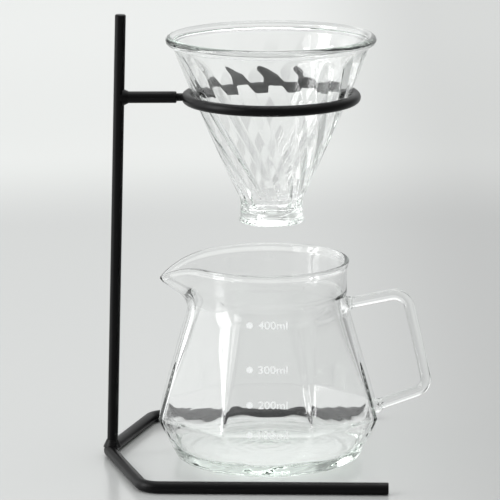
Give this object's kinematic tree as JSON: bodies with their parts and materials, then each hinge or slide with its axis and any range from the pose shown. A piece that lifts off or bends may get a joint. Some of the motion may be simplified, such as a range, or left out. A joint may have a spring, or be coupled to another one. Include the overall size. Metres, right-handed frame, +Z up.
{
  "type": "pour over dripper stand",
  "caption": "Black wire stand with a ring that holds a swirled glass coffee dripper above a faceted glass server with spout and handle.",
  "frame": {"origin": "middle of the server's foot, on the table", "axes": "+Z up, +X from the upright towards the server's handle, -Y the front"},
  "size_m": [0.1526, 0.1384, 0.2077],
  "materials": {
    "black_steel": "satin powder coat",
    "clear_glass": "clear, polished"
  },
  "bodies": {
    "root": {"base_rod": "black_steel", "upright_rod": "black_steel", "foot_weld": "black_steel", "support_arm": "black_steel", "arm_weld": "black_steel", "dripper_ring": "black_steel", "ring_weld": "black_steel", "dripper": "clear_glass", "server_body": "clear_glass", "server_handle": "clear_glass"}
  },
  "joints": []
}
